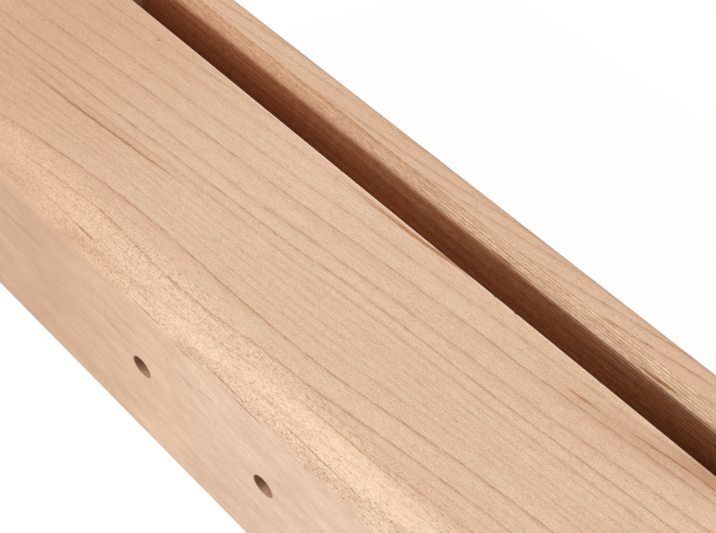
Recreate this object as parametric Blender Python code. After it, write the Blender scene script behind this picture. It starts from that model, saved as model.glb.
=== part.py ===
# Slotted orchestral wood block in maple, lying on its back with the slot facing up.
# +X runs along the block, +Y towards the thin playing plate, +Z out of the slotted front.
# The origin is the centre of the back face. The block is a glued lamination of five boards:
# a thick body, a thin playing plate, and between them a back rail and two end blocks,
# which leave a long deep slot open to the front.

import math

import bmesh
import bpy
from mathutils import Matrix, Vector

# Driving dimensions in metres
LENGTH = 0.2286               # over the two ends
DEPTH = 0.058                 # from the back face to the slotted front face
BODY_HEIGHT = 0.0492          # body board, from the bracket face up to the slot
SLOT_WIDTH = 0.0115           # clear gap between the body and the playing plate
PLATE_THICKNESS = 0.00635     # playing plate
RAIL_THICKNESS = 0.0127       # wood left at the back of the slot
END_BLOCK_LENGTH = 0.01905    # solid end of the slot, the same at both ends
GLUE_LINE = 0.0003            # gap between two glued faces

# Edges
ROUND_OVER_RADIUS = 0.010     # long front edge of the body, away from the slot
FACE_SANDED_OFF = 0.000475    # taken off the bracket face after that edge was rounded
LONG_EDGE_RADIUS = 0.002      # the other long outer edges
END_EDGE_RADIUS = 0.001       # edges round both ends
ROUND_OVER_SEGMENTS = 18
LONG_EDGE_SEGMENTS = 6
END_EDGE_SEGMENTS = 3

# Two screw holes for a stand bracket, drilled into the face away from the plate
HOLE_DIAMETER = 0.0055
HOLE_SPACING = 0.0381
HOLE_DEPTH = 0.019            # full diameter, without the drill's point
DRILL_POINT_ANGLE = math.radians(118)
HOLE_SIDES = 32
CUTTER_OVERSHOOT = 0.003      # how far a cutter stands out of the face it enters

# Places worked out from the sizes above
HEIGHT = BODY_HEIGHT + SLOT_WIDTH + PLATE_THICKNESS
BRACKET_FACE_Y = -HEIGHT / 2
SLOT_LOW_Y = BRACKET_FACE_Y + BODY_HEIGHT
SLOT_HIGH_Y = SLOT_LOW_Y + SLOT_WIDTH
SLOT_MID_Y = (SLOT_LOW_Y + SLOT_HIGH_Y) / 2
SLOT_END_X = LENGTH / 2 - END_BLOCK_LENGTH
FILLER_HEIGHT = SLOT_WIDTH - 2 * GLUE_LINE

MAPLE_BODY = (0.73, 0.50, 0.35, 1.0)
MAPLE_PLATE = (0.71, 0.48, 0.33, 1.0)
MAPLE_FILLER = (0.66, 0.43, 0.28, 1.0)
WOOD_ROUGHNESS = 0.55

ON_EDGE = 1e-6                # tolerance for finding an edge by its place


def clear_scene():
    for old in list(bpy.data.objects):
        bpy.data.objects.remove(old, do_unlink=True)


def new_collection(name):
    collection = bpy.data.collections.new(name)
    bpy.context.scene.collection.children.link(collection)
    return collection


def wood(name, colour):
    material = bpy.data.materials.new(name)
    material.use_nodes = True
    shader = material.node_tree.nodes["Principled BSDF"]
    shader.inputs["Base Color"].default_value = colour
    shader.inputs["Roughness"].default_value = WOOD_ROUGHNESS
    shader.inputs["Metallic"].default_value = 0.0
    return material


def board_mesh(name, size):
    """A plain board, centred on its own origin."""
    board = bmesh.new()
    bmesh.ops.create_cube(board, size=1.0)
    bmesh.ops.scale(board, vec=size, verts=board.verts)
    mesh = bpy.data.meshes.new(name)
    board.to_mesh(mesh)
    board.free()
    return mesh


def round_edges(mesh, wanted, radius, segments):
    """Round every edge that the test `wanted` picks by its two end points."""
    board = bmesh.new()
    board.from_mesh(mesh)
    edges = [edge for edge in board.edges if wanted(edge.verts[0].co, edge.verts[1].co)]
    bmesh.ops.bevel(board, geom=edges, offset=radius, offset_type='OFFSET', segments=segments,
                    profile=0.5, affect='EDGES', clamp_overlap=True)
    board.to_mesh(mesh)
    board.free()


def sand_low_face(mesh, depth):
    """Take a flat layer off a board's low Y side, which cuts the roundings there short."""
    board = bmesh.new()
    board.from_mesh(mesh)
    low = min(vert.co.y for vert in board.verts)
    cut = bmesh.ops.bisect_plane(board, geom=board.verts[:] + board.edges[:] + board.faces[:],
                                 plane_co=(0.0, low + depth, 0.0), plane_no=(0.0, -1.0, 0.0),
                                 clear_outer=True)
    rim = [item for item in cut["geom_cut"] if isinstance(item, bmesh.types.BMEdge)]
    bmesh.ops.edgenet_fill(board, edges=rim)
    bmesh.ops.translate(board, vec=(0.0, -depth / 2, 0.0), verts=board.verts)
    bmesh.ops.recalc_face_normals(board, faces=board.faces)
    board.to_mesh(mesh)
    board.free()


def long_edge(size, y_side, z_side):
    """Test for the long edge at one corner of a board's section."""
    corner = Vector((0.0, y_side * size.y / 2, z_side * size.z / 2))

    def wanted(a, b):
        return all(abs(v.y - corner.y) < ON_EDGE and abs(v.z - corner.z) < ON_EDGE for v in (a, b))

    return wanted


def end_edges(size, x_sides, glued_y):
    """Test for the edges round the given ends, leaving out those that lie on a glued face."""
    def wanted(a, b):
        at_end = any(abs(a.x - side * size.x / 2) < ON_EDGE and abs(b.x - side * size.x / 2) < ON_EDGE
                     for side in x_sides)
        on_glue = any(abs(a.y - side * size.y / 2) < ON_EDGE and abs(b.y - side * size.y / 2) < ON_EDGE
                      for side in glued_y)
        return at_end and not on_glue

    return wanted


def place_board(name, mesh, centre, material, collection):
    mesh.materials.append(material)
    mesh.shade_smooth()
    mesh.set_sharp_from_angle(angle=math.radians(20))
    board = bpy.data.objects.new(name, mesh)
    board.location = centre
    collection.objects.link(board)
    return board


def body_board(material, collection):
    """The thick board below the slot. Its lower front edge is rounded on the unsanded board."""
    size = Vector((LENGTH, BODY_HEIGHT, DEPTH))
    unsanded = Vector((LENGTH, BODY_HEIGHT + FACE_SANDED_OFF, DEPTH))
    centre = Vector((0.0, BRACKET_FACE_Y + BODY_HEIGHT / 2, DEPTH / 2))
    mesh = board_mesh("body_board", unsanded)
    round_edges(mesh, long_edge(unsanded, -1, 1), ROUND_OVER_RADIUS, ROUND_OVER_SEGMENTS)
    sand_low_face(mesh, FACE_SANDED_OFF)
    round_edges(mesh, long_edge(size, -1, -1), LONG_EDGE_RADIUS, LONG_EDGE_SEGMENTS)
    round_edges(mesh, end_edges(size, (-1, 1), (1,)), END_EDGE_RADIUS, END_EDGE_SEGMENTS)
    return place_board("body_board", mesh, centre, material, collection)


def playing_plate(material, collection):
    """The thin board that is struck, with its two outer long edges eased."""
    size = Vector((LENGTH, PLATE_THICKNESS, DEPTH))
    centre = Vector((0.0, SLOT_HIGH_Y + PLATE_THICKNESS / 2, DEPTH / 2))
    mesh = board_mesh("playing_plate", size)
    round_edges(mesh, long_edge(size, 1, 1), LONG_EDGE_RADIUS, LONG_EDGE_SEGMENTS)
    round_edges(mesh, long_edge(size, 1, -1), LONG_EDGE_RADIUS, LONG_EDGE_SEGMENTS)
    round_edges(mesh, end_edges(size, (-1, 1), (-1,)), END_EDGE_RADIUS, END_EDGE_SEGMENTS)
    return place_board("playing_plate", mesh, centre, material, collection)


def end_block(name, side, material, collection):
    """The block that closes one end of the slot, glued between the body and the plate."""
    size = Vector((END_BLOCK_LENGTH, FILLER_HEIGHT, DEPTH))
    centre = Vector((side * (LENGTH / 2 - END_BLOCK_LENGTH / 2), SLOT_MID_Y, DEPTH / 2))
    mesh = board_mesh(name, size)
    round_edges(mesh, end_edges(size, (side,), (-1, 1)), END_EDGE_RADIUS, END_EDGE_SEGMENTS)
    return place_board(name, mesh, centre, material, collection)


def back_rail(material, collection):
    """The strip that closes the back of the slot, between the two end blocks."""
    size = Vector((2 * (SLOT_END_X - GLUE_LINE), FILLER_HEIGHT, RAIL_THICKNESS))
    centre = Vector((0.0, SLOT_MID_Y, RAIL_THICKNESS / 2))
    return place_board("back_rail", board_mesh("back_rail", size), centre, material, collection)


def drill_cutter(name, x, collection):
    """A drill bit with its point, entering the bracket face at half the block's depth."""
    radius = HOLE_DIAMETER / 2
    shank = HOLE_DEPTH + CUTTER_OVERSHOOT
    point = radius / math.tan(DRILL_POINT_ANGLE / 2)
    bit = bmesh.new()
    bmesh.ops.create_cone(bit, cap_ends=True, segments=HOLE_SIDES, radius1=radius, radius2=radius,
                          depth=shank, matrix=Matrix.Translation((0.0, 0.0, shank / 2 - CUTTER_OVERSHOOT)))
    far_cap = max(bit.faces, key=lambda face: face.calc_center_median().z)
    tip = bmesh.ops.poke(bit, faces=[far_cap])["verts"][0]
    tip.co.z += point
    mesh = bpy.data.meshes.new(name)
    bit.to_mesh(mesh)
    bit.free()
    cutter = bpy.data.objects.new(name, mesh)
    cutter.location = (x, BRACKET_FACE_Y, DEPTH / 2)
    cutter.rotation_euler = (math.radians(-90), 0.0, 0.0)
    cutter.hide_render = True
    cutter.display_type = 'WIRE'
    collection.objects.link(cutter)
    return cutter


def drill(board, cutter):
    hole = board.modifiers.new(cutter.name, 'BOOLEAN')
    hole.operation = 'DIFFERENCE'
    hole.solver = 'EXACT'
    hole.object = cutter


def main():
    clear_scene()
    block = new_collection("wood_block")
    cutters = new_collection("cutters")
    body_maple = wood("maple_body", MAPLE_BODY)
    plate_maple = wood("maple_plate", MAPLE_PLATE)
    filler_maple = wood("maple_filler", MAPLE_FILLER)

    body = body_board(body_maple, block)
    for name, x in (("bracket_hole_left", -HOLE_SPACING / 2), ("bracket_hole_right", HOLE_SPACING / 2)):
        drill(body, drill_cutter(name, x, cutters))
    playing_plate(plate_maple, block)
    back_rail(filler_maple, block)
    end_block("left_end_block", -1, filler_maple, block)
    end_block("right_end_block", 1, filler_maple, block)


main()
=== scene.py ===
"""Maple wood block with a long slot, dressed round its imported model.

Lengths are in metres in the model's own frame: +X along the block, +Y towards the thin playing
plate, +Z out of the slotted front. The wood's figure is laid out in millimetres.
"""

import math
from dataclasses import dataclass

import bmesh
import bpy
from bpy.props import FloatProperty, FloatVectorProperty, PointerProperty
from mathutils import Matrix, Vector, noise


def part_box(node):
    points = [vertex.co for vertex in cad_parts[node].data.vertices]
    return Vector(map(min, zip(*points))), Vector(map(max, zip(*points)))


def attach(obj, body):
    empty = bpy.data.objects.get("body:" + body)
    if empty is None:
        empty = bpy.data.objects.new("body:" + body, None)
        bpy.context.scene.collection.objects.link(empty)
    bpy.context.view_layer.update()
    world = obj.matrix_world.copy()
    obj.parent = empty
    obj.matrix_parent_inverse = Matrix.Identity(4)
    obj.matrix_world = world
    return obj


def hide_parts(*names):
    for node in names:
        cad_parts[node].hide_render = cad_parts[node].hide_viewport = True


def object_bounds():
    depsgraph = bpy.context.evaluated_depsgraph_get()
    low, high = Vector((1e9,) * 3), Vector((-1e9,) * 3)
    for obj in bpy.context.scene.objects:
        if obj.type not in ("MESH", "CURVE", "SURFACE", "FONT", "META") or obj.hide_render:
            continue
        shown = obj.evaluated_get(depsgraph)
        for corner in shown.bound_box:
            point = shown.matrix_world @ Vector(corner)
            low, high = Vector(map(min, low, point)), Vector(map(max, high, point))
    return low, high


bl_info = {
    "name": "Maple Wood Block",
    "version": (1, 0, 0),
    "blender": (4, 5, 0),
    "location": "View3D > Sidebar > Wood Block",
    "description": "Builds a slotted maple wood block board by board, with its grain and a plain stage",
    "category": "Add Mesh",
}

MM = 0.001
BODY = "root"

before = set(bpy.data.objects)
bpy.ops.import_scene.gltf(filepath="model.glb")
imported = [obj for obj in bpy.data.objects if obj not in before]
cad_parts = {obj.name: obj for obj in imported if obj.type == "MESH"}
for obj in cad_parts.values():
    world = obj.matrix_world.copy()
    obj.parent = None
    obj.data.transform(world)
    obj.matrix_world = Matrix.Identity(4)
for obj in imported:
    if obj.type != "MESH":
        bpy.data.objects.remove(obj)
cad_low, cad_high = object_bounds()
body_low, body_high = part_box("body_board")
plate_low, plate_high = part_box("playing_plate")
rail_low, rail_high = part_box("back_rail")
block_low, block_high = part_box("right_end_block")
HALF_LENGTH = body_high.x
SLOT_END = block_low.x
SLOT_LOW = body_high.y
SLOT_HIGH = plate_low.y
SLOT_FLOOR = rail_high.z

SANDED, MILLED, DRILLED = range(3)


def linear(value):
    """A value as it is seen on a screen, 0 to 255, as the linear value that Blender mixes with."""
    share = value / 255
    return share / 12.92 if share <= 0.04045 else ((share + 0.055) / 1.055) ** 2.4


def length_value(name, description, millimetres):
    return FloatProperty(name=name, description=description, default=millimetres * MM, min=0.0,
                         unit='LENGTH', precision=5)


def colour_value(name, description, *levels):
    """A colour from its red, green and blue as seen on a screen."""
    return FloatVectorProperty(name=name, description=description, size=3, min=0.0, max=1.0,
                               default=[linear(level) for level in levels], subtype='COLOR')


class BlockSizes(bpy.types.PropertyGroup):
    """Sizes of the block's finer forms."""
    round_over: length_value("Round-over", "Radius of the body's long front edge", 10.0)
    back_edge: length_value("Back edges", "Radius of the body's back edge and the plate's far edges", 2.0)
    end_edge: length_value("End edges", "Radius round both ends", 1.0)
    slot_arris: length_value("Slot arris", "Radius that sandpaper leaves on the edges of the slot", 0.09)
    glued_arris: length_value("Glued arris", "Radius left on an edge that meets its neighbour", 0.02)
    glue_film: length_value("Glue film", "Thickness of the dried glue between two boards", 0.1)
    glue_sink: length_value("Glue sink", "How far the glue lies below the sanded faces", 0.04)
    saw_pitch: length_value("Saw mark pitch", "Distance between two saw marks in the slot", 1.03)
    saw_depth: length_value("Saw mark depth", "Depth of the deeper saw marks in the slot", 0.08)
    station: length_value("Station", "Greatest distance between two sections of a board", 3.0)
    hole_diameter: length_value("Hole diameter", "Diameter of the two screw holes", 5.5)
    hole_spacing: length_value("Hole spacing", "Distance between the two screw holes", 38.1)
    hole_depth: length_value("Hole depth", "Depth of the screw holes at full diameter", 19.0)
    hole_arris: length_value("Hole arris", "Radius that sandpaper leaves round a screw hole", 0.12)


class MapleColours(bpy.types.PropertyGroup):
    """Colours of the wood and of the glue, and of the painted light and shade on the wood."""
    pale: colour_value("Pale wood", "Wood between two growth rings", 227, 194, 164)
    tan: colour_value("Tan wood", "The darker bands of the same wood", 222, 186, 153)
    rosy: colour_value("Rosy wood", "Faint pink clouds in the wood", 229, 186, 157)
    # A painted reflection of the white floor, paler and greyer near the bracket face.
    flat: colour_value("Flat-cut wood", "The body's wood near the bracket face", 221, 192, 166)
    warm: colour_value("Warm wood", "The body's left end, the other boards and the bores", 210, 167, 132)
    ring: colour_value("Growth ring", "The thin line that ends a year's growth", 174, 118, 82)
    mineral: colour_value("Mineral streak", "Orange-brown streaks along the grain", 168, 108, 56)
    stroke: colour_value("Dark stroke", "Dark strokes, soft patches and end grain pores", 146, 104, 72)
    torn: colour_value("Torn grain", "Dashes and pits on the rounded edge", 176, 136, 98)
    # Raised fibres, and also the colour of the painted highlights on the round-over and the slot wall.
    fuzz_and_highlight: colour_value("Fuzz", "Raised fibres on the rounded edge, and pale patches", 246, 216, 186)
    # Painted highlight: the pale line along the slot's near edge.
    edge_highlight: colour_value("Highlit edge", "The pale line along the slot's near edge", 255, 224, 194)
    slot: colour_value("Slot wall", "Wood that the saw left in the slot", 236, 204, 171)
    slot_left: colour_value("Slot wall, left", "The same wood towards its left end", 229, 184, 145)
    # Painted shade in the slot, below where the light reaches.
    slot_shade: colour_value("Shadowed wood", "How much darker the wood is in the slot", 221, 189, 166)
    # Painted shade deeper still in the slot.
    deep_slot_shade: colour_value("Deepest wood", "How much darker still it is deep in the slot", 246, 235, 218)
    end_grain: colour_value("End grain", "Wood cut across, at both ends", 204, 163, 130)
    # The painted shade inside the screw holes.
    bore_shade: colour_value("Bore", "Wood that the drill left in the screw holes", 156, 112, 82)
    glue: colour_value("Glue", "Dried glue between two boards", 196, 152, 112)


def block_sizes():
    return bpy.context.scene.wood_block_sizes


def maple_colours():
    return bpy.context.scene.wood_block_colours


# Meshes

SHARP_ANGLE = 32.0
END_ROWS = 7
END_TURNS = [1 - math.cos(math.radians(90 * row / END_ROWS)) for row in range(END_ROWS + 1)]
ARRIS_STEPS = 5
MARKS_PER_WALL = 56
POINTS_PER_MARK = 5
WALL_STEPS = MARKS_PER_WALL * POINTS_PER_MARK
FACE_STEPS = 14
SLAB_STEPS = 6
ROUND_OVER_STEPS = 28
BACK_EDGE_STEPS = 8
CLOSEST_SECTIONS = 0.02 * MM
SLOT_END_FADE = 0.5 * MM
SAW_START = 56.89
SAW_SHARE_AT_LEFT = 0.3
SAW_GROWTH_REACH = 60.0
RAIL_SCRAPE = 0.08 * MM
CHIP_REACH = 1.2 * MM
CHIP_ROWS = 12


@dataclass
class Chip:
    """A crumb of wood that the saw took from an edge of the slot, in millimetres."""
    x: float
    depth: float
    width: float


BODY_CHIPS = (Chip(-12.6, 0.12, 0.5), Chip(30.7, 0.26, 0.3), Chip(36.2, 0.3, 0.35), Chip(57.5, 0.12, 0.6))
PLATE_CHIPS = (Chip(-48.0, 0.18, 0.5), Chip(8.5, 0.15, 0.4))

ROUND_OVER_START = 9.525 * MM
DRILL_POINT_ANGLE = 118.0
HOLE_SIDES = 72
HOLE_RIM_STEPS = 3
CUTTER_STAND_OFF = 2.0 * MM


def arc(centre, radius, start, end, steps):
    """Points from one angle to another, in degrees, where 0 points to +Y and 90 to +Z."""
    points = []
    for step in range(steps + 1):
        angle = math.radians(start + (end - start) * step / steps)
        points.append((centre[0] + radius * math.cos(angle), centre[1] + radius * math.sin(angle)))
    return points


def between(start, end, steps):
    """The points inside a straight run, without its two ends."""
    shares = [step / steps for step in range(1, steps)]
    return [(start[0] + (end[0] - start[0]) * s, start[1] + (end[1] - start[1]) * s) for s in shares]


def drawn_in(radius, reach):
    """How far a rounding draws a face in, at one distance from the rounding's end."""
    if reach >= radius:
        return 0.0
    return radius - math.sqrt(radius ** 2 - (radius - reach) ** 2)


def end_inset(radius, x):
    """How far the rounding of an end draws a section's outline in, at one place along the block."""
    return drawn_in(radius, HALF_LENGTH - abs(x))


def smooth_step(low, high, value):
    share = min(1.0, max(0.0, (value - low) / (high - low)))
    return share * share * (3 - 2 * share)


def drift(x, along, seed, z=0.0, out=1.0):
    """Unevenness from -1 to 1, the same at every run, that changes slowly along X and out along Z."""
    return noise.noise(Vector((x / along, z / out, seed)))


def join_rows(board, rows, finishes):
    """Adds the faces between each closed row of points and the next."""
    for row, following in zip(rows, rows[1:]):
        for i, finish in enumerate(finishes):
            j = (i + 1) % len(row)
            face = board.faces.new((row[i], row[j], following[j], following[i]))
            face.material_index = finish


def loft_into(board, xs, section, finishes):
    """Adds a closed solid: one section outline at each place in xs, joined row by row and capped."""
    rows = [[board.verts.new((x, y, z)) for y, z in section(x)] for x in xs]
    join_rows(board, rows, finishes)
    board.faces.new(list(reversed(rows[0])))
    board.faces.new(rows[-1])


def mesh_piece(name, board, materials):
    """Turns finished faces into an object with its materials."""
    bmesh.ops.recalc_face_normals(board, faces=board.faces)
    mesh = bpy.data.meshes.new(name)
    board.to_mesh(mesh)
    board.free()
    for material in materials:
        mesh.materials.append(material)
    piece = bpy.data.objects.new(name, mesh)
    bpy.context.scene.collection.objects.link(piece)
    return piece


def loft(name, xs, section, finishes, materials):
    """A board that is one lofted solid."""
    board = bmesh.new()
    loft_into(board, xs, section, finishes)
    return mesh_piece(name, board, materials)


def finish_piece(piece, slot, *nodes):
    """Shades a finished board, lets it stand for its nodes and fixes it to the block."""
    piece.data.shade_smooth()
    piece.data.set_sharp_from_angle(angle=math.radians(SHARP_ANGLE))
    even = piece.modifiers.new("even_shading", 'WEIGHTED_NORMAL')
    even.keep_sharp = True
    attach(piece, BODY)
    if nodes:
        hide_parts(*nodes)
    return piece


def stations(sizes, chips):
    """Places of the sections along a full-length board, closer where its shape changes."""
    count = math.ceil(2 * HALF_LENGTH / sizes.station)
    places = [-HALF_LENGTH + 2 * HALF_LENGTH * i / count for i in range(1, count)]
    for turn in END_TURNS:
        reach = sizes.end_edge * turn
        places += [HALF_LENGTH - reach, reach - HALF_LENGTH]
    for side in (-1, 1):
        places += [side * (SLOT_END + step * SLOT_END_FADE) for step in (-1, -0.5, 0)]
    for chip in chips:
        places += [chip.x * MM + CHIP_REACH * (2 * row / CHIP_ROWS - 1) for row in range(CHIP_ROWS + 1)]
    places.sort()
    kept = places[:1]
    for place in places[1:]:
        if place - kept[-1] > CLOSEST_SECTIONS:
            kept.append(place)
    return kept


def open_share(x):
    """1 along the open slot, falling to 0 at its ends."""
    return 1 - smooth_step(SLOT_END - SLOT_END_FADE, SLOT_END, abs(x))


def arris_radius(sizes, x, chips, seed):
    """Radius of a slot edge: worn and chipped along the slot, next to nothing where it is glued."""
    worn = sizes.slot_arris * (1 + 0.3 * drift(x, 9 * MM, seed))
    for chip in chips:
        worn += chip.depth * MM * math.exp(-((x - chip.x * MM) / (chip.width * MM)) ** 2)
    return sizes.glued_arris + (worn - sizes.glued_arris) * open_share(x)


def saw_mark(sizes, x, z, seed):
    """Depth of the saw marks at one place on a wall of the slot."""
    in_slot = open_share(x) * smooth_step(SLOT_FLOOR, SLOT_FLOOR + SLOT_END_FADE, z)
    wave = 0.5 - 0.5 * math.cos(2 * math.pi * (z - SAW_START * MM) / sizes.saw_pitch)
    growth = smooth_step(-SAW_GROWTH_REACH * MM, SAW_GROWTH_REACH * MM, x)
    strength = SAW_SHARE_AT_LEFT + (1 - SAW_SHARE_AT_LEFT) * growth
    uneven = 0.75 + 0.5 * drift(x, 60 * MM, seed, z, 2.3 * MM)
    return sizes.saw_depth * in_slot * wave * strength * uneven


def wall(sizes, x, y, inward, back, front, seed):
    """One wall of the slot from the back to the front, cut by saw marks."""
    points = [(y, back)]
    for step in range(1, WALL_STEPS):
        z = back + (front - back) * step / WALL_STEPS
        points.append((y + inward * saw_mark(sizes, x, z, seed), z))
    return points


def body_section(sizes, x):
    """Outline of the thick board: slot wall, slot arris, front, round-over, bracket face, back."""
    inset = end_inset(sizes.end_edge, x)
    front, back, near = body_high.z - inset, body_low.z + inset, body_low.y + inset
    arris = arris_radius(sizes, x, BODY_CHIPS, seed=1.7)
    points = wall(sizes, x, SLOT_LOW, -1, back, front - arris, seed=4.1)
    points += arc((SLOT_LOW - arris, front - arris), arris, 0, 90, ARRIS_STEPS)
    radius = sizes.round_over - inset
    centre = (body_low.y + ROUND_OVER_START, body_high.z - sizes.round_over)
    curve = arc(centre, radius, 90, 90 + round_over_sweep(sizes, inset), ROUND_OVER_STEPS)
    points += between(points[-1], curve[0], FACE_STEPS) + curve
    edge = max(sizes.back_edge - inset, sizes.glued_arris)
    turn = arc((near + edge, back + edge), edge, 180, 270, BACK_EDGE_STEPS)
    points += between(curve[-1], turn[0], FACE_STEPS) + turn
    return points + between(turn[-1], (SLOT_LOW, back), FACE_STEPS)


def round_over_sweep(sizes, inset):
    """Angle at which the round-over runs into the bracket face, which was sanded flat after it."""
    return math.degrees(math.asin(min(1.0, (ROUND_OVER_START - inset) / (sizes.round_over - inset))))


def plate_section(sizes, x):
    """Outline of the playing plate: slot wall, slot arris, front, far front edge, outer face, back."""
    inset = end_inset(sizes.end_edge, x)
    front, back, far = plate_high.z - inset, plate_low.z + inset, plate_high.y - inset
    arris = arris_radius(sizes, x, PLATE_CHIPS, seed=8.3)
    edge = max(sizes.back_edge - inset, sizes.glued_arris)
    points = wall(sizes, x, SLOT_HIGH, 1, back, front - arris, seed=6.9)
    points += arc((SLOT_HIGH + arris, front - arris), arris, 180, 90, ARRIS_STEPS)
    for turn in (arc((far - edge, front - edge), edge, 90, 0, BACK_EDGE_STEPS),
                 arc((far - edge, back + edge), edge, 0, -90, BACK_EDGE_STEPS)):
        points += between(points[-1], turn[0], FACE_STEPS) + turn
    return points + between(points[-1], (SLOT_HIGH, back), FACE_STEPS // 2)


def slab(faces, back, front, steps=SLAB_STEPS):
    """Outline of a board between two faces, given by their y, from its back to its front."""
    low, high = faces
    points = []
    corners = [(low, back), (low, front), (high, front), (high, back)]
    for corner, following in zip(corners, corners[1:] + corners[:1]):
        points += [corner] + between(corner, following, steps)
    return points


def filler_faces(sizes):
    """The two glued faces of a board that lies between the body and the plate."""
    return SLOT_LOW + sizes.glue_film, SLOT_HIGH - sizes.glue_film


def end_block_section(sizes, x):
    """Outline of an end block: rounded at the block's end, eased where its front meets the slot."""
    inset = end_inset(sizes.end_edge, x)
    eased = drawn_in(sizes.slot_arris, abs(x) - SLOT_END)
    return slab(filler_faces(sizes), block_low.z + inset, block_high.z - inset - eased)


def end_block_places(sizes, side):
    """Places of the sections along an end block, from the slot to the block's end."""
    reaches = [SLOT_END + sizes.slot_arris * turn for turn in END_TURNS]
    reaches += [HALF_LENGTH - sizes.end_edge * turn for turn in reversed(END_TURNS)]
    return [side * reach for reach in reaches]


def rail_section(sizes, x):
    """Outline of the back rail, whose front face is the floor of the slot."""
    scraped = RAIL_SCRAPE * (1 + drift(x, 35 * MM, seed=2.2))
    return slab(filler_faces(sizes), rail_low.z, rail_high.z - scraped)


def film_section(faces, back, front, sink, rounding=0.0):
    """Outline of a film of glue, sunk below the faces that its joint runs out to."""
    def section(x):
        inset = end_inset(rounding, abs(x) + sink) + sink
        return slab(faces, back + inset, front - inset, steps=1)

    return section


def glue_slabs(sizes):
    """Each film of glue, as its places along X and its section."""
    sink, film = sizes.glue_sink, sizes.glue_film
    joints = ((SLOT_LOW, SLOT_LOW + film), (SLOT_HIGH - film, SLOT_HIGH))
    rounded = [HALF_LENGTH - sink - sizes.end_edge * turn for turn in reversed(END_TURNS)]
    for side in (-1, 1):
        for faces in joints:
            section = film_section(faces, block_low.z, block_high.z, sink, sizes.end_edge)
            yield [side * reach for reach in (SLOT_END + sink, *rounded)], section
        inner = sorted((side * (SLOT_END - film), side * SLOT_END))
        yield inner, film_section(filler_faces(sizes), rail_low.z, rail_high.z, sink)
    for faces in joints:
        yield [-SLOT_END, 0.0, SLOT_END], film_section(faces, rail_low.z, rail_high.z, sink)


def wall_finishes(count):
    """The slot wall comes first in a long board's outline, and the rest of it is sanded."""
    return [MILLED] * WALL_STEPS + [SANDED] * (count - WALL_STEPS)


def drill_profile(sizes):
    """The drill's outline as (radius, depth) points: wide outside the face, then the rim and the bore."""
    radius, ease = sizes.hole_diameter / 2, sizes.hole_arris
    profile = [(radius + ease + CUTTER_STAND_OFF, -CUTTER_STAND_OFF)]
    for step in range(HOLE_RIM_STEPS + 1):
        angle = math.radians(90 * step / HOLE_RIM_STEPS)
        profile.append((radius + ease * (1 - math.sin(angle)), ease * (1 - math.cos(angle))))
    return profile + [(radius, sizes.hole_depth)]


def drill_bit(sizes, materials):
    """The drill as a closed solid about its own Z axis, with its point at the deep end."""
    bit = bmesh.new()
    profile = drill_profile(sizes)
    turns = [2 * math.pi * side / HOLE_SIDES for side in range(HOLE_SIDES)]
    rows = [[bit.verts.new((radius * math.cos(turn), radius * math.sin(turn), depth)) for turn in turns]
            for radius, depth in profile]
    join_rows(bit, rows, [DRILLED] * HOLE_SIDES)
    radius, depth = profile[-1]
    tip = bit.verts.new((0.0, 0.0, depth + radius / math.tan(math.radians(DRILL_POINT_ANGLE / 2))))
    for i in range(HOLE_SIDES):
        bit.faces.new((rows[-1][i], rows[-1][(i + 1) % HOLE_SIDES], tip))
    bit.faces.new(list(reversed(rows[0])))
    for face in bit.faces:
        face.material_index = DRILLED
    return mesh_piece("drill", bit, materials)


def drill(board, sizes, materials):
    """Cuts the two screw holes into the bracket face."""
    for side in (-1, 1):
        bit = drill_bit(sizes, materials)
        bit.location = (side * sizes.hole_spacing / 2, body_low.y, (body_low.z + body_high.z) / 2)
        bit.rotation_euler = (math.radians(-90), 0.0, 0.0)
        cut = board.modifiers.new("hole", 'BOOLEAN')
        cut.operation = 'DIFFERENCE'
        cut.solver = 'EXACT'
        cut.object = bit
        bpy.context.view_layer.update()
        whole = board.evaluated_get(bpy.context.evaluated_depsgraph_get())
        drilled = bpy.data.meshes.new_from_object(whole)
        board.modifiers.clear()
        board.data = drilled
        bpy.data.objects.remove(bit, do_unlink=True)


# Wood

BUMP_STRENGTH = 0.5


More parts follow.
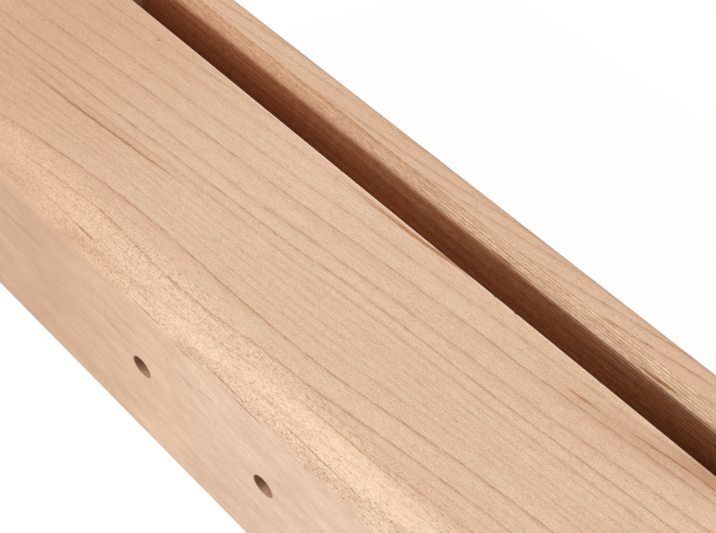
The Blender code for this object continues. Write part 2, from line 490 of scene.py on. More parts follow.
class Wiring:
    """Short ways to add and join the nodes of one material, or of the sky."""

    def __init__(self, owner):
        owner.use_nodes = True
        self.owner = owner
        self.nodes = owner.node_tree.nodes
        self.links = owner.node_tree.links

    def join(self, value, socket):
        if isinstance(value, bpy.types.NodeSocket):
            self.links.new(value, socket)
        else:
            socket.default_value = value

    def fill(self, node, values):
        """Gives a node's inputs, by name, their values or links."""
        for name, value in values.items():
            self.join(value, node.inputs[name])
        return node

    def add(self, kind, *values, **settings):
        """A new node with these settings, whose first inputs take the values in turn."""
        node = self.nodes.new("ShaderNode" + kind)
        for name, setting in settings.items():
            setattr(node, name, setting)
        for value, socket in zip(values, node.inputs):
            self.join(value, socket)
        return node

    def math(self, operation, *values):
        return self.add("Math", *values, operation=operation).outputs[0]

    def plus(self, first, second):
        return self.math('ADD', first, second)

    def minus(self, first, second):
        return self.math('SUBTRACT', first, second)

    def times(self, first, second):
        return self.math('MULTIPLY', first, second)

    def most(self, first, second):
        return self.math('MAXIMUM', first, second)

    def vector(self, operation, *values):
        node = self.add("VectorMath", *values, operation=operation)
        return node.outputs["Value" if operation == 'LENGTH' else "Vector"]

    def scaled(self, vector, factor):
        node = self.add("VectorMath", vector, operation='SCALE')
        return self.fill(node, {"Scale": factor}).outputs["Vector"]

    def split(self, vector):
        return self.add("SeparateXYZ", vector).outputs

    def pack(self, x, y, z):
        return self.add("CombineXYZ", x, y, z).outputs[0]

    def here(self):
        """The place on the piece, in millimetres."""
        return self.scaled(self.add("TexCoord").outputs["Object"], 1 / MM)

    def place(self, vector, location=(0, 0, 0), turn=0.0, scale=(1, 1, 1), kind='POINT'):
        """Coordinates moved, turned about Z and scaled."""
        turns = (0, 0, math.radians(turn))
        return self.add("Mapping", vector, location, turns, scale, vector_type=kind).outputs[0]

    def noise(self, vector, stretch, detail=2.0, roughness=0.5, output="Fac"):
        """Soft noise whose grains are as long as stretch says along each axis."""
        node = self.add("TexNoise", self.place(vector, scale=[1 / length for length in stretch]))
        return self.fill(node, {"Scale": 1.0, "Detail": detail, "Roughness": roughness}).outputs[output]

    def range(self, value, low, high, to_low=0.0, to_high=1.0):
        """A soft step from to_low, where the value is low, up or down to to_high."""
        node = self.add("MapRange", value, low, high, to_low, to_high, interpolation_type='SMOOTHSTEP')
        return node.outputs[0]

    def mix(self, factor, first, second, blend='MIX'):
        node = self.add("Mix", factor, data_type='RGBA', blend_type=blend)
        for colour, socket in ((first, node.inputs[6]), (second, node.inputs[7])):
            if not isinstance(colour, bpy.types.NodeSocket):
                colour = (*colour, 1.0)
            self.join(colour, socket)
        return node.outputs[2]

    def tinted(self, colour, tint):
        return self.mix(1.0, colour, tint, 'MULTIPLY')

    def shaded(self, colour, shade):
        return self.tinted(colour, self.pack(shade, shade, shade))

    def ramp(self, value, stops):
        """A grey ramp through (place, level) stops."""
        node = self.add("ValToRGB", value)
        elements = node.color_ramp.elements
        while len(elements) < len(stops):
            elements.new(0.5)
        for element, (place, level) in zip(elements, stops):
            element.position = place
            element.color = (level, level, level, 1.0)
        return node.outputs["Color"]

    def surface(self, colour, rough, height, relief):
        """Joins the material's own shader and gives back the material."""
        bump = self.add("Bump")
        self.fill(bump, {"Strength": BUMP_STRENGTH, "Distance": relief, "Height": height})
        shader = self.nodes["Principled BSDF"]
        self.fill(shader, {"Base Color": colour, "Roughness": rough, "Normal": bump.outputs[0]})
        return self.owner


@dataclass
class Ring:
    """One growth ring: where it meets the board's front, how dark it shows, how far it fades."""
    place: float
    strength: float
    halo: float = 0.9


@dataclass
class Streak:
    """A mark that lies in the wood as a lens, turned about Z in degrees: full strength in its core."""
    middle: tuple
    half: tuple
    strength: float
    core: float = 0.0
    turn: float = 0.0


@dataclass
class Bow:
    """A slow wave of the rings along the board, which may fade out on both sides of a band."""
    height: float
    crest: float
    length: float
    rise: tuple = ()
    fall: tuple = ()


@dataclass
class Grain:
    """How one board was cut from the log, in millimetres across the block's front.

    The heart is the log's middle line, as its y and z. Dents bend the rings aside, a veil hides them.
    """
    rings: tuple
    tilt: float
    heart: tuple
    bow: Bow = None
    dents: tuple = ()
    veil: Streak = None
    warmth: float = 0.0
    wander: float = 0.5
    seed: float = 0.0

    def __post_init__(self):
        self.rings = [Ring(*row) for row in self.rings]

    def side(self):
        return 1 if self.heart[0] > 0 else -1

    def datum(self):
        return math.hypot(self.heart[0], FRONT - self.heart[1])

    def distance(self, across):
        """Distance between the rings through the front's middle line and through a place on it."""
        return self.side() * (self.datum() - math.hypot(across - self.heart[0], FRONT - self.heart[1]))


FRONT = body_high.z / MM
NEAR_FACE = -33.5
FAR_WALL = 27.2
RINGS_PER_RAMP = 7
RAMP_MARGIN = 2.0
LINE_HALF_WIDTH = 0.24
NARROWEST_HALO = 1.2 * LINE_HALF_WIDTH
HALO_SHARE_OF_GAP = 0.42
LEVEL_BESIDE_LINE = 0.25
SLOW_SWING, FINE_SWING = 3.6, 0.6
FIBRE_TURN = -0.6
BROWNING = (0.85, 1.10, 1.40)
# Strength of the painted floor reflection near the bracket face.
FLOOR_REFLECTION_SHARE = 0.8
SMUDGES = ((0.80, 0.71, 0.67), (1.20, 1.29, 1.33))
END_GRAIN_SHARE = 0.62
END_GRAIN_ROUGHER = 0.12
RAYS_PER_RADIAN = 400.0
SLOT_TONE_SHARE = 0.75
# Strength of the painted shade in the slot at its left and right ends.
SLOT_SHADE_AT_LEFT = 1.20
SLOT_SHADE_AT_RIGHT = (0.84, 0.75, 0.70)
BRIGHT_MIDDLE = 20.0
# How deep the painted shade in a screw hole reaches.
BORE_SHADE_DEPTH = 4.0
WOOD_RELIEF = 0.05 * MM
GLUE_RELIEF = 0.03 * MM

# Soft steps in millimetres: where one starts, where it is full and, where not 0 and 1, its values
NEAR_SIDE = (-26.0, -34.0)
NEAR_SHADE = (-5.0, -70.0, 0.0, 0.10)
NEAR_WARMTH = (42.0, -75.0)
FRONT_WARMTH = (-8.0, -95.0, 0.0, 0.85)
LIT_DEPTH = (7.5, 5.0)
# Depths in the slot at which the painted shade sets in, and at which it deepens.
SLOT_SHADE_DEPTH = (4.5, 8.0)
DEEPEST_DEPTH = (9.0, 15.0)
# Painted shade across a screw hole, on the side away from the light.
HOLE_SHADE_SIDE = (0.3, -2.6)


def on_front(x, y, reach, width, strength, core=0.0, turn=0.0, depth=3.0):
    """A streak in the slotted front, by its middle, half length and half width."""
    return Streak((x, y, FRONT), (reach, width, depth), strength, core, turn)


def on_near_face(x, z, reach, width, strength, core=0.0, depth=0.8):
    """The same in the bracket face."""
    return Streak((x, NEAR_FACE, z), (reach, depth, width), strength, core)


def on_far_wall(x, z, reach, width, strength, core=0.0):
    """The same in the wall of the slot that the playing plate makes."""
    return Streak((x, FAR_WALL, z), (reach, 2.0, width), strength, core)


BODY_GRAIN = Grain(
    rings=((-45.6, 0.5), (-41.5, 0.55), (-37.2, 0.6), (-33.9, 0.5), (-31.3, 0.5),
           (-28.7, 0.45), (-26.7, 0.3), (-24.6, 0.8), (-19.9, 0.85, 1.4), (-16.2, 0.42),
           (-14.6, 0.28), (-13.2, 0.26), (-11.6, 0.32), (-10, 0.3), (-8.1, 0.28),
           (-6.5, 0.66), (-4, 0.75), (-0.6, 0.8), (4.6, 0.74, 1.8), (9.2, 0.68),
           (14.65, 0.5, 1.6), (17.6, 0.6), (21.8, 0.6), (26, 0.6)),
    tilt=4.25, heart=(120, 20), bow=Bow(1.15, -40, 106, (-31, -26), (-18, -10)),
    dents=(on_front(-15, -26, 30, 7, 1.6, depth=40),
           on_front(-80, -25.5, 28, 4.5, -1.7, depth=40)),
    veil=on_front(-73, -24.6, 20, 3.4, 0.75, core=0.3, depth=40), wander=0.55)

PLATE_GRAIN = Grain(
    rings=((10.4, 0.5), (13.3, 0.6), (16.2, 0.5), (19, 0.6), (22.4, 1),
           (25.2, 0.75), (28.4, 0.6), (30.7, 0.6), (33.9, 0.5), (36.6, 0.6),
           (39.7, 0.6), (43.2, 0.7), (46.8, 0.5)),
    tilt=6.4, heart=(-95, -30), bow=Bow(1.17, 120, 200), warmth=0.35, wander=0.4, seed=31)

FILLER_GRAIN = Grain(
    rings=((2.5, 0.6), (6.6, 0.5), (10.3, 0.7), (13.4, 0.5), (17.2, 0.7),
           (20.1, 0.5), (23.9, 0.6), (27.5, 0.6), (32, 0.5), (36.3, 0.6),
           (41, 0.5)),
    tilt=1.5, heart=(-52, 96), warmth=0.6, wander=0.6, seed=57)

MINERAL_STREAKS = (
    on_front(-59, -12.95, 27, 0.5, 0.9, 0.1, 4.6),
    on_front(-48, -12.05, 20, 0.36, 0.9, 0.2, 5.4),
    on_front(-54, -12.1, 30, 1.8, 0.2, 0, 4.3),
    on_front(12, 15.05, 23, 0.58, 0.85, 0.3, 2.7, 4),
    on_front(-2, 14.9, 16, 0.3, 0.4, 0.35, 2.2, 4),
    on_front(58, 10.7, 6.5, 0.38, 0.8, 0.2, 4.8),
    on_front(76, 12.55, 13.5, 0.34, 0.9, 0.3, 6.3),
    on_front(62, 11, 14, 0.25, 0.4, 0.2, 5.6),
    on_front(86, 13.5, 12, 0.34, 0.85, 0.4, 5),
    on_front(73, 11.7, 32, 4.6, 0.34, 0, 5.4),
    on_front(86, 14.6, 22, 3.4, 0.6, 0.1, 5.4),
    Streak((-36.8, -31.1, 54.9), (4.8, 0.22, 0.8), 0.85, 0.35, 0.6),
    on_near_face(-79, 24, 5, 2.6, 0.3, depth=2),
    Streak((45.5, -28.8, 56.3), (4, 0.5, 0.4), 0.6, 0.1),
    on_front(36, -26.6, 26, 0.2, 0.5, 0.1, 2.7),
)
PLATE_STREAKS = (
    on_far_wall(61, 52.85, 5, 0.42, 1, 0.5),
    on_far_wall(64.5, 53.3, 4, 0.34, 0.95, 0.4),
    on_far_wall(23, 52.2, 5, 0.42, 0.95, 0.3),
    on_far_wall(-22, 57.1, 70, 0.45, 0.22, 0.1),
    on_far_wall(5, 55.2, 24, 0.4, 0.14, 0.1),
    on_far_wall(-32, 54.1, 20, 0.6, 0.18),
    on_far_wall(-52, 55.6, 12, 0.5, 0.2),
)
TORN_PITS = (-48.5, -45, -41.2, -38.4, -35.6, -33.2, -30.4, -26.3, -23.4, -21)
DARK_STROKES = (
    *(Streak((x, -32.7, 52.9), (0.45, 0.5, 0.3), 0.55, 0.1) for x in TORN_PITS),
    Streak((-46, -31.1, 55), (9, 0.5, 0.2), 0.4),
    on_front(-67.5, 12.1, 0.55, 0.4, 0.7, 0.3, depth=1),
    Streak((8.5, -32.7, 52.5), (8, 0.8, 0.21), 0.75, 0.35),
    Streak((-14.5, -33.2, 51.8), (6, 0.8, 0.21), 0.75, 0.35),
    Streak((15.5, -33.2, 51.5), (7, 0.8, 0.21), 0.75, 0.35),
    on_near_face(-3, 50.9, 4.2, 0.26, 0.8, 0.35),
    Streak((33, -31.6, 54.5), (19, 0.5, 0.22), 0.6),
    Streak((8.6, -31.8, 54.1), (3, 0.5, 0.22), 0.7),
    Streak((-16.5, -32, 53.9), (4, 0.5, 0.22), 0.65),
    on_near_face(1, 42.3, 2, 0.4, 0.6),
    on_near_face(3.9, 42.9, 2.2, 0.42, 0.75),
    on_near_face(-3.6, 40.9, 4.2, 0.42, 0.6),
    on_near_face(-9.2, 42.2, 0.8, 0.5, 0.6),
    on_near_face(-22, 40.4, 3, 0.7, 0.2),
)
SOFT_PATCHES = (
    on_near_face(-61, 38, 15, 1.2, 0.4, depth=2),
    on_near_face(-22, 40.4, 4.4, 1.6, 0.2, depth=2),
    on_near_face(-29, 34.4, 9, 2, 0.2, depth=2),
    on_near_face(-42, 31, 14, 1.4, 0.16, depth=2),
    on_near_face(-74, 19.5, 12, 4.5, 0.2, depth=3),
    on_front(-77, -14.3, 2.4, 1.2, 0.12, turn=5, depth=1),
)
# A painted highlight along the slot's near edge.
EDGE_HIGHLIGHT = (on_front(0, SLOT_LOW / MM, 130, 0.42, 0.85, 0.3, depth=0.42),)
# Painted highlights where light catches the round-over, the top of the slot's far wall and the top of the
# bracket face.
PAINTED_HIGHLIGHTS = (
    Streak((44, -28.3, 57), (48, 3.8, 4), 0.38),
    on_far_wall(-10, 56, 120, 0.35, 0.3, 0.1),
    on_near_face(-60, 51.2, 26, 3.4, 0.1, depth=1.2),
    Streak((0, -31.4, 54.2), (26, 2.4, 3.4), 0.28),
)


def wandering(wood, here, grain):
    """How far the grain strays from straight: slow swings along the board and a fine unevenness."""
    seeded = wood.vector('ADD', here, (grain.seed, 0, 0))
    middle = (0.5, 0.5, 0.5)
    slow = wood.vector('SUBTRACT', wood.noise(seeded, (48, 16, 22), 2, output="Color"), middle)
    fine = wood.vector('SUBTRACT', wood.noise(seeded, (2.6, 0.8, 0.8), 3, 0.65, "Color"), middle)
    return wood.vector('ADD', wood.scaled(slow, SLOW_SWING * grain.wander), wood.scaled(fine, FINE_SWING))


def from_heart(wood, grain, across, out):
    """How far a place lies from the heart of the log: across the front, out of it, and altogether."""
    offsets = (wood.minus(across, grain.heart[0]), wood.minus(out, grain.heart[1]))
    return *offsets, wood.vector('LENGTH', wood.pack(0, *offsets))


def ring_distance(wood, grain, board):
    """The node form of Grain.distance, with the bow and the dents that the rings follow."""
    along, across, out = wood.split(board)
    bow = grain.bow
    if bow:
        turn = wood.times(wood.minus(along, bow.crest), 2 * math.pi / bow.length)
        height = bow.height
        if bow.rise:
            height = wood.times(wood.range(across, *bow.rise, 0, height),
                                wood.range(across, *bow.fall, 1, 0))
        across = wood.minus(across, wood.times(wood.math('COSINE', turn), height))
    for dent in grain.dents:
        across = wood.plus(across, lens(wood, board, dent))
    radius = from_heart(wood, grain, across, out)[-1]
    return wood.times(wood.minus(grain.datum(), radius), grain.side())


def ring_lines(wood, grain, distance):
    """Darkness of the growth rings: a sharp line on one side and a slow fade on the other."""
    places = [grain.distance(ring.place) for ring in grain.rings]
    low, high = places[0] - RAMP_MARGIN, places[-1] + RAMP_MARGIN
    share = wood.math('DIVIDE', wood.minus(distance, low), high - low)
    total = 0.0
    for first in range(0, len(places), RINGS_PER_RAMP):
        stops = []
        for i in range(first, min(first + RINGS_PER_RAMP, len(places))):
            ring, place = grain.rings[i], places[i]
            gap = place - places[i - 1] if i else 2 * RAMP_MARGIN
            halo = max(min(ring.halo, HALO_SHARE_OF_GAP * gap), NARROWEST_HALO)
            for offset, level in ((-halo, 0), (-LINE_HALF_WIDTH, LEVEL_BESIDE_LINE), (0, 1),
                                  (LINE_HALF_WIDTH, 0)):
                stops.append(((place + offset - low) / (high - low), level * ring.strength))
        total = wood.most(total, wood.ramp(share, stops))
    return total


def lens(wood, where, mark):
    """One mark in the wood: nothing at its rim, and its full strength inside its core."""
    near = wood.vector('LENGTH', wood.place(where, mark.middle, mark.turn, mark.half, 'TEXTURE'))
    return wood.range(near, 1, mark.core, 0, mark.strength)


def streaks(wood, where, marks):
    """The strongest of several marks at each place."""
    total = 0.0
    for mark in marks:
        total = wood.most(total, lens(wood, where, mark))
    return total


def facing(wood, axis):
    """How squarely the surface faces along one axis, either way, from 0 to 1."""
    return wood.math('ABSOLUTE', wood.split(wood.add("TexCoord").outputs["Normal"])[axis])


def grained(wood, colour, value, strength):
    """Lightens and darkens a colour by a noise about 0.5, and turns it browner where it darkens."""
    change = wood.times(wood.minus(value, 0.5), strength)
    shades = [wood.math('MULTIPLY_ADD', change, share, 1) for share in BROWNING]
    return wood.tinted(colour, wood.pack(*shades))


def wood_tone(wood, grain, here, board):
    """The wood's ground colour, in slow bands and small clouds."""
    colours = maple_colours()
    bands = wood.noise(board, (90, 5.5, 6.5), 3, 0.55)
    clouds = wood.noise(board, (8, 2.6, 2.6), 3, 0.6)
    colour = wood.mix(wood.range(bands, 0.32, 0.68), colours.pale, colours.tan)
    colour = wood.mix(wood.range(clouds, 0.38, 0.62, 0, 0.5), colour, colours.rosy)
    colour = wood.mix(grain.warmth, colour, colours.warm)
    return body_tone(wood, here, colour) if grain is BODY_GRAIN else colour


def body_tone(wood, here, colour):
    """The body's tones: warmer towards its left end, greyed near the bracket face by a painted reflection
    of the white floor, darker there towards the left end, and smudged.
    """
    colours = maple_colours()
    along, across, _ = wood.split(here)
    near_side = wood.range(across, *NEAR_SIDE)
    smudges = wood.noise(here, (13, 4, 4.2), 3, 0.55)
    # Painted reflection of the white floor near the bracket face.
    colour = wood.mix(wood.times(near_side, FLOOR_REFLECTION_SHARE), colour, colours.flat)
    front_warmth = wood.range(along, *FRONT_WARMTH)
    near_warmth = wood.times(near_side, wood.range(along, *NEAR_WARMTH))
    warmth = wood.math('MULTIPLY_ADD', near_warmth, wood.minus(1, front_warmth), front_warmth)
    colour = wood.mix(warmth, colour, colours.warm)
    shade = wood.times(near_side, wood.range(along, *NEAR_SHADE))
    colour = wood.shaded(colour, wood.minus(1, shade))
    return wood.tinted(colour, wood.mix(near_side, (1, 1, 1), wood.mix(smudges, *SMUDGES)))


def growth_rings(wood, grain, board, flat_cut, colour):
    """Brown lines, broken and here and there veiled, and fainter where the board was cut along them."""
    brown = maple_colours().ring
    faint = wood.noise(board, (22, 0.8, 0.8), 2, 0.6)
    colour = wood.mix(wood.range(faint, 0.54, 0.74, 0, 0.16), colour, brown)
    breaks = wood.noise(board, (4, 0.7, 0.7), 4, 0.75)
    seen = wood.times(wood.range(breaks, 0.36, 0.62, 0.42, 1.08), wood.range(flat_cut, 0, 1, 1, 0.22))
    if grain.veil:
        seen = wood.times(seen, wood.minus(1, lens(wood, board, grain.veil)))
    lines = ring_lines(wood, grain, ring_distance(wood, grain, board))
    return wood.mix(wood.times(lines, seen), colour, brown)


def fibres_and_pores(wood, grain, here, flat_cut, colour):
    """Short fibres, fine speckle and the dark dashes of open pores, with their relief and gloss."""
    straight = wood.place(here, turn=FIBRE_TURN * grain.tilt)
    fibres = wood.noise(straight, (2.6, 0.34, 0.34), 3, 0.75)
    speckle = wood.noise(here, (0.32, 0.26, 0.26), 2, 0.7)
    pores = wood.range(wood.noise(straight, (1.3, 0.3, 0.3), 2, 0.65), 0.57, 0.7)
    colour = grained(wood, colour, fibres, wood.range(flat_cut, 0, 1, 0.42, 0.7))
    colour = grained(wood, colour, speckle, wood.range(flat_cut, 0, 1, 0.95, 0.9))
    shown = wood.times(pores, wood.range(flat_cut, 0, 1, 0.34, 0.18))
    colour = wood.mix(shown, colour, maple_colours().ring)
    height = wood.minus(wood.times(fibres, 0.6), wood.times(pores, 0.6))
    return colour, height, wood.range(fibres, 0.3, 0.7, 0.46, 0.58)


def maple(name, grain, finish, marks=()):
    """One board's wood, as its last tool left it, with its painted highlights and painted shade."""
    colours = maple_colours()
    wood = Wiring(bpy.data.materials.new(name))
    here = wood.here()
    shift = wandering(wood, here, grain)
    board = wood.vector('ADD', wood.place(here, turn=-grain.tilt), shift)
    marked = wood.vector('ADD', here, shift)
    flat_cut = wood.range(facing(wood, 1), 0.8, 0.99)
    cut_across = wood.range(facing(wood, 0), 0.55, 0.95)

    colour = wood_tone(wood, grain, here, board)
    colour = growth_rings(wood, grain, board, flat_cut, colour)
    colour, height, rough = fibres_and_pores(wood, grain, here, flat_cut, colour)
    if grain is BODY_GRAIN and finish == SANDED:
        colour = wood.mix(streaks(wood, marked, SOFT_PATCHES), colour, colours.stroke)
        colour, height, rough = torn_grain(wood, here, colour, height, rough)
        colour = wood.mix(streaks(wood, here, DARK_STROKES), colour, colours.stroke)
    if finish == MILLED:
        colour, height = milled(wood, here, colour, height)
    if marks:
        # Painted highlights on the round-over and the slot wall.
        colour = wood.mix(streaks(wood, here, PAINTED_HIGHLIGHTS), colour, colours.fuzz_and_highlight)
        # The painted highlight along the slot's near edge.
        colour = wood.mix(streaks(wood, here, EDGE_HIGHLIGHT), colour, colours.edge_highlight)
        colour = wood.mix(streaks(wood, marked, marks), colour, colours.mineral)
    if finish == DRILLED:
        colour, height = bored(wood, here, colour, height)
    else:
        colour = wood.mix(cut_across, colour, end_grain(wood, grain, here, colour))
        rough = wood.plus(rough, wood.times(cut_across, END_GRAIN_ROUGHER))
    return wood.surface(colour, rough, height, WOOD_RELIEF)


def end_grain(wood, grain, here, colour):
    """Wood cut across: darker, dotted with open pores and crossed by fine pale rays from the heart."""
    colours = maple_colours()
    _, across, out = wood.split(here)
    sideways, upwards, radius = from_heart(wood, grain, across, out)
    around = wood.times(wood.math('ARCTAN2', upwards, sideways), RAYS_PER_RADIAN)
    rays = wood.noise(wood.pack(around, radius, 0), (1, 3, 1), 2, 0.6)
    pores = wood.range(wood.noise(here, (0.5, 0.2, 0.2), 2, 0.6), 0.56, 0.7)
    clouds = wood.noise(here, (9, 5, 5), 3, 0.6)
    colour = grained(wood, wood.mix(END_GRAIN_SHARE, colour, colours.end_grain), clouds, 0.3)
    colour = wood.mix(wood.range(rays, 0.52, 0.7, 0, 0.35), colour, colours.pale)
    return wood.mix(wood.times(pores, 0.34), colour, colours.stroke)


def torn_grain(wood, here, colour, height, rough):
    """Short dark dashes, pits and pale crumbs that the cutter left round the long front edge."""
    colours = maple_colours()
    along, across, out = wood.split(here)
    above = wood.minus(out, FRONT - block_sizes().round_over / MM)
    angle = wood.math('ARCTAN2', wood.minus((body_low.y + ROUND_OVER_START) / MM, across), above)
    ragged = wood.noise(here, (4.5, 1, 1), 2, 0.6)
    reached = wood.plus(angle, wood.range(ragged, 0.3, 0.7, math.radians(-6), math.radians(6)))

    def past(low, high):
        return wood.range(reached, math.radians(low), math.radians(high))

    torn = wood.times(past(-8, 10), past(71, 64))
    torn = wood.times(torn, wood.math('GREATER_THAN', above, 0))
    torn = wood.times(torn, wood.range(along, -70, -15, 0.55, 1))
    dashes = wood.range(wood.noise(here, (1.1, 0.22, 0.22), 2, 0.6), 0.56, 0.66)
    pits = wood.range(wood.noise(here, (0.75, 0.36, 0.36), 1.5, 0.55), 0.57, 0.66)
    crumbs = wood.range(wood.noise(here, (0.5, 0.28, 0.28), 2, 0.65), 0.48, 0.36)
    dark = wood.times(wood.most(wood.times(dashes, 0.85), wood.times(pits, past(36, 58))), torn)
    light = wood.times(crumbs, torn)
    colour = wood.mix(wood.times(dark, 0.9), colour, colours.torn)
    colour = wood.mix(wood.times(light, 0.42), colour, colours.fuzz_and_highlight)
    height = wood.plus(wood.minus(height, wood.times(dark, 1.8)), wood.times(light, 0.7))
    return colour, height, wood.plus(rough, wood.times(torn, 0.08))


def milled(wood, here, colour, height):
    """Saw marks and raised fibres along the slot, with a painted highlight on the lit side of each saw
    mark, and painted shade: darker below where the light reaches, more so towards the right end, and darker
    still deep down, away from the middle.
    """
    colours, pitch = maple_colours(), block_sizes().saw_pitch / MM
    along, _, out = wood.split(here)
    depth = wood.minus(wood.minus(FRONT, out), wood.range(along, 10, 75, 0, 0.6))
    in_light = wood.range(depth, *LIT_DEPTH)
    fibres = wood.noise(here, (11, 0.5, 0.3), 3, 0.72)
    chips = wood.noise(here, (1.1, 0.36, 0.36), 2, 0.7)
    scores = wood.noise(here, (45, 2, 0.5), 3, 0.65)
    # A painted highlight along the slope of each saw mark that faces the light, stronger towards the right.
    turn = wood.times(wood.minus(out, SAW_START + 0.25 * pitch), 2 * math.pi / pitch)
    growth = wood.range(along, -SAW_GROWTH_REACH, SAW_GROWTH_REACH, 0.015, 0.09)
    tone = wood.mix(wood.range(along, 30, -70), colours.slot, colours.slot_left)
    colour = wood.mix(SLOT_TONE_SHARE, colour, tone)
    colour = grained(wood, colour, fibres, wood.range(along, -60, 70, 0.85, 1.3))
    colour = grained(wood, colour, chips, wood.range(in_light, 0, 1, 1.4, 1.3))
    colour = grained(wood, colour, scores, wood.range(in_light, 0, 1, 1.5, 0.9))
    colour = wood.shaded(colour, wood.plus(1, wood.times(wood.math('COSINE', turn), growth)))
    # Painted shade where the light no longer reaches into the slot, lighter at the left end and darker at
    # the right.
    sides = [wood.range(along, -70, 90, SLOT_SHADE_AT_LEFT, right) for right in SLOT_SHADE_AT_RIGHT]
    slot_shade = wood.tinted(wood.tinted(colour, colours.slot_shade), wood.pack(*sides))
    colour = wood.mix(wood.range(depth, *SLOT_SHADE_DEPTH), colour, slot_shade)
    # Painted shade deep in the slot, darker away from the middle.
    off_middle = wood.math('ABSOLUTE', wood.minus(along, BRIGHT_MIDDLE))
    deep_slot_shade = wood.shaded(wood.tinted(colour, colours.deep_slot_shade),
                          wood.range(off_middle, 15, 75, 1.04, 0.86))
    colour = wood.mix(wood.range(depth, *DEEPEST_DEPTH), colour, deep_slot_shade)
    return colour, wood.plus(height, wood.times(fibres, 1.5))


def bored(wood, here, colour, height):
    """Rough wood inside the screw holes, with painted shade: darker deeper down and on the side that the
    light doesn't reach.
    """
    colours, spacing = maple_colours(), block_sizes().hole_spacing / MM
    along, across, _ = wood.split(here)
    from_axis = wood.math('MULTIPLY_ADD', wood.math('SIGN', along), -spacing / 2, along)
    # Painted shade on the side away from the light, and deeper down.
    shaded_side = wood.range(from_axis, *HOLE_SHADE_SIDE)
    deep = wood.range(across, body_low.y / MM, body_low.y / MM + BORE_SHADE_DEPTH, 0, 0.25)
    colour = wood.mix(wood.most(shaded_side, deep), colours.warm, colours.bore_shade)
    rings = wood.noise(here, (0.5, 0.4, 0.5), 3, 0.7)
    colour = wood.shaded(colour, wood.range(rings, 0.3, 0.7, 0.84, 1.1))
    return colour, wood.plus(height, wood.times(rings, 3))


def dried_glue():
    """Amber glue, slightly cloudy along the joint."""
    glue = Wiring(bpy.data.materials.new("dried_glue"))
    cloud = glue.noise(glue.here(), (6, 1, 2), 3, 0.6)
    colour = glue.shaded(maple_colours().glue, glue.range(cloud, 0.3, 0.7, 0.85, 1.1))
    return glue.surface(colour, glue.range(cloud, 0.3, 0.7, 0.3, 0.45), cloud, GLUE_RELIEF)


# Stage

WHITE = (1.0, 1.0, 1.0, 1.0)
FLOOR_REACH = 3.0
FLOOR_DROP = 0.05 * MM
PAPER = (0.5, 0.5, 0.5, 1.0)
PAPER_ROUGHNESS = 0.9
PAPER_GLOW = 1.14
SHADOW_SHARE = 0.2
SKY_LIGHT = 0.78
KEY_LIGHT = 0.457
KEY_AZIMUTH = 23.4
KEY_ELEVATION = 28.3
KEY_DISTANCE = 1.6
KEY_WIDTH = 0.15
CAMERA_PLACE = (0.14056, -0.12682, 0.28836)
CAMERA_ACROSS = (0.6800, 0.7330, 0.0162)
CAMERA_BACK = (0.4494, -0.4342, 0.7807)
CAMERA_LENS = 76.99
CAMERA_SENSOR = 36.0


def seen_directly(wires):
    """1 for rays from the camera, in reflections and through clear things, 0 for those that light."""
    path = wires.add("LightPath").outputs
    return wires.most(wires.most(path["Is Camera Ray"], path["Is Glossy Ray"]), path["Is Transmission Ray"])


def mix_by_ray(wires, share, lighting, seen, end):
    """Sends two shaders on: one that lights the block, and one that shows in its place."""
    either = wires.add("MixShader", share, lighting.outputs[0], seen.outputs[0])
    wires.fill(wires.nodes[end], {"Surface": either.outputs[0]})


def white_sky():
    """White all round as it is seen, and a softer even light on the block."""
    sky = Wiring(bpy.data.worlds.new("white_studio"))
    light = sky.fill(sky.nodes["Background"], {"Color": WHITE, "Strength": SKY_LIGHT})
    mix_by_ray(sky, seen_directly(sky), light, sky.add("Background", WHITE, 1.0), "World Output")
    bpy.context.scene.world = sky.owner


def paper_floor():
    """White paper that shows a faint shadow under and beside the block."""
    paper = Wiring(bpy.data.materials.new("white_paper"))
    matt = paper.fill(paper.nodes["Principled BSDF"], {"Base Color": PAPER, "Roughness": PAPER_ROUGHNESS})
    share = paper.times(seen_directly(paper), 1 - SHADOW_SHARE)
    mix_by_ray(paper, share, matt, paper.add("Emission", WHITE, PAPER_GLOW), "Material Output")
    floor = bmesh.new()
    bmesh.ops.create_grid(floor, x_segments=4, y_segments=4, size=FLOOR_REACH)
    piece = mesh_piece("floor", floor, [paper.owner])
    piece.location.z = body_low.z - FLOOR_DROP


def key_light():
    """One softbox, low on the bracket side of the block."""
    azimuth, elevation = math.radians(KEY_AZIMUTH), math.radians(KEY_ELEVATION)
    towards = Vector((-math.sin(azimuth) * math.cos(elevation), -math.cos(azimuth) * math.cos(elevation),
                      math.sin(elevation)))
    lamp = bpy.data.lights.new("key_softbox", 'AREA')
    lamp.shape = 'DISK'
    lamp.size = KEY_WIDTH
    lamp.energy = KEY_LIGHT * (math.pi * KEY_DISTANCE) ** 2
    light = bpy.data.objects.new("key_softbox", lamp)
    light.location = (cad_low + cad_high) / 2 + towards * KEY_DISTANCE
    light.rotation_mode = 'QUATERNION'
    light.rotation_quaternion = towards.to_track_quat('Z', 'Y')
    bpy.context.scene.collection.objects.link(light)


def photo_camera():
    """The camera, close over the right half of the block."""
    lens = bpy.data.cameras.new("camera")
    lens.lens = CAMERA_LENS
    lens.sensor_width = CAMERA_SENSOR
    lens.sensor_fit = 'HORIZONTAL'
    lens.clip_start = 0.01
    camera = bpy.data.objects.new("camera", lens)
    across, back = Vector(CAMERA_ACROSS).normalized(), Vector(CAMERA_BACK).normalized()
    up = back.cross(across).normalized()
    turn = Matrix((across, up, across.cross(up))).transposed()
    camera.matrix_world = Matrix.Translation(CAMERA_PLACE) @ turn.to_4x4()
    bpy.context.scene.collection.objects.link(camera)
    bpy.context.scene.camera = camera


# Operators

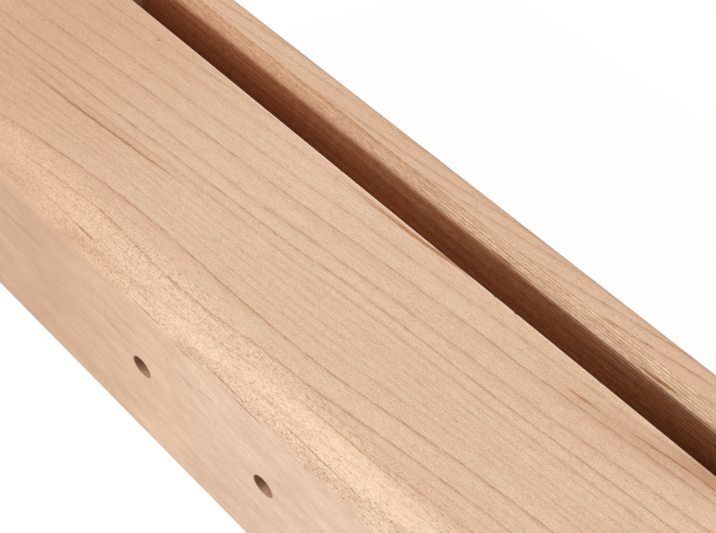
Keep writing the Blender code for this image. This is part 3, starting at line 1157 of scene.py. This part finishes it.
class WOODBLOCK_OT_body_board(bpy.types.Operator):
    """Build the thick board with its round-over, slot wall and two screw holes"""
    bl_idname = "wood_block.body_board"
    bl_label = "Body Board"
    bl_options = {'REGISTER', 'UNDO'}

    def execute(self, context):
        sizes = context.scene.wood_block_sizes
        finishes = wall_finishes(len(body_section(sizes, 0.0)))
        materials = [maple("maple_body_sanded", BODY_GRAIN, SANDED, MINERAL_STREAKS),
                     maple("maple_body_milled", BODY_GRAIN, MILLED),
                     maple("maple_body_drilled", BODY_GRAIN, DRILLED)]
        piece = loft("body_board_maple", stations(sizes, BODY_CHIPS),
                     lambda x: body_section(sizes, x), finishes, materials)
        drill(piece, sizes, materials)
        finish_piece(piece, "maple_body", "body_board")
        return {'FINISHED'}


class WOODBLOCK_OT_playing_plate(bpy.types.Operator):
    """Build the thin board that is struck, with its slot wall and eased far edges"""
    bl_idname = "wood_block.playing_plate"
    bl_label = "Playing Plate"
    bl_options = {'REGISTER', 'UNDO'}

    def execute(self, context):
        sizes = context.scene.wood_block_sizes
        finishes = wall_finishes(len(plate_section(sizes, 0.0)))
        materials = [maple("maple_plate_sanded", PLATE_GRAIN, SANDED),
                     maple("maple_plate_milled", PLATE_GRAIN, MILLED, PLATE_STREAKS)]
        piece = loft("playing_plate_maple", stations(sizes, PLATE_CHIPS),
                     lambda x: plate_section(sizes, x), finishes, materials)
        finish_piece(piece, "maple_plate", "playing_plate")
        return {'FINISHED'}


class WOODBLOCK_OT_slot_fillers(bpy.types.Operator):
    """Build the back rail and the two end blocks that close the slot"""
    bl_idname = "wood_block.slot_fillers"
    bl_label = "Rail and End Blocks"
    bl_options = {'REGISTER', 'UNDO'}

    def execute(self, context):
        sizes = context.scene.wood_block_sizes
        wood = maple("maple_filler_sanded", FILLER_GRAIN, SANDED)
        finishes = [0] * len(rail_section(sizes, 0.0))
        reach = SLOT_END - sizes.glue_film
        rows = math.ceil(2 * reach / sizes.station)
        places = [-reach + 2 * reach * row / rows for row in range(rows + 1)]
        rail = loft("back_rail_maple", places, lambda x: rail_section(sizes, x), finishes, [wood])
        finish_piece(rail, "maple_filler", "back_rail")
        for side, name in ((-1, "left_end_block"), (1, "right_end_block")):
            block = loft(name + "_maple", end_block_places(sizes, side),
                         lambda x: end_block_section(sizes, x), finishes, [wood])
            finish_piece(block, "maple_filler", name)
        return {'FINISHED'}


class WOODBLOCK_OT_glue_films(bpy.types.Operator):
    """Fill the joints between the five boards with thin films of dried glue"""
    bl_idname = "wood_block.glue_films"
    bl_label = "Glue Films"
    bl_options = {'REGISTER', 'UNDO'}

    def execute(self, context):
        films = bmesh.new()
        for places, section in glue_slabs(context.scene.wood_block_sizes):
            loft_into(films, places, section, [0] * len(section(places[0])))
        finish_piece(mesh_piece("glue_films", films, [dried_glue()]), "maple_filler")
        return {'FINISHED'}


class WOODBLOCK_OT_stage(bpy.types.Operator):
    """Set up the white floor, the studio light and the camera"""
    bl_idname = "wood_block.stage"
    bl_label = "Stage"
    bl_options = {'REGISTER', 'UNDO'}

    def execute(self, context):
        context.scene.view_settings.view_transform = 'Standard'
        white_sky()
        paper_floor()
        key_light()
        photo_camera()
        return {'FINISHED'}


class VIEW3D_PT_wood_block(bpy.types.Panel):
    bl_label = "Maple Wood Block"
    bl_idname = "VIEW3D_PT_wood_block"
    bl_space_type = 'VIEW_3D'
    bl_region_type = 'UI'
    bl_category = "Wood Block"

    def draw(self, context):
        layout = self.layout
        for maker in MAKERS:
            layout.operator(maker.bl_idname)
        for title, values in (("Sizes", context.scene.wood_block_sizes),
                              ("Colours", context.scene.wood_block_colours)):
            box = layout.box()
            box.label(text=title)
            for name in values.__annotations__:
                box.prop(values, name)


MAKERS = (WOODBLOCK_OT_body_board, WOODBLOCK_OT_playing_plate, WOODBLOCK_OT_slot_fillers,
          WOODBLOCK_OT_glue_films, WOODBLOCK_OT_stage)
CLASSES = (BlockSizes, MapleColours, *MAKERS, VIEW3D_PT_wood_block)


def register():
    for kind in CLASSES:
        bpy.utils.register_class(kind)
    bpy.types.Scene.wood_block_sizes = PointerProperty(type=BlockSizes)
    bpy.types.Scene.wood_block_colours = PointerProperty(type=MapleColours)


def unregister():
    del bpy.types.Scene.wood_block_colours
    del bpy.types.Scene.wood_block_sizes
    for kind in reversed(CLASSES):
        bpy.utils.unregister_class(kind)


def main():
    register()
    bpy.ops.wood_block.body_board()
    bpy.ops.wood_block.playing_plate()
    bpy.ops.wood_block.slot_fillers()
    bpy.ops.wood_block.glue_films()
    bpy.ops.wood_block.stage()


if __name__ == "__main__":
    main()
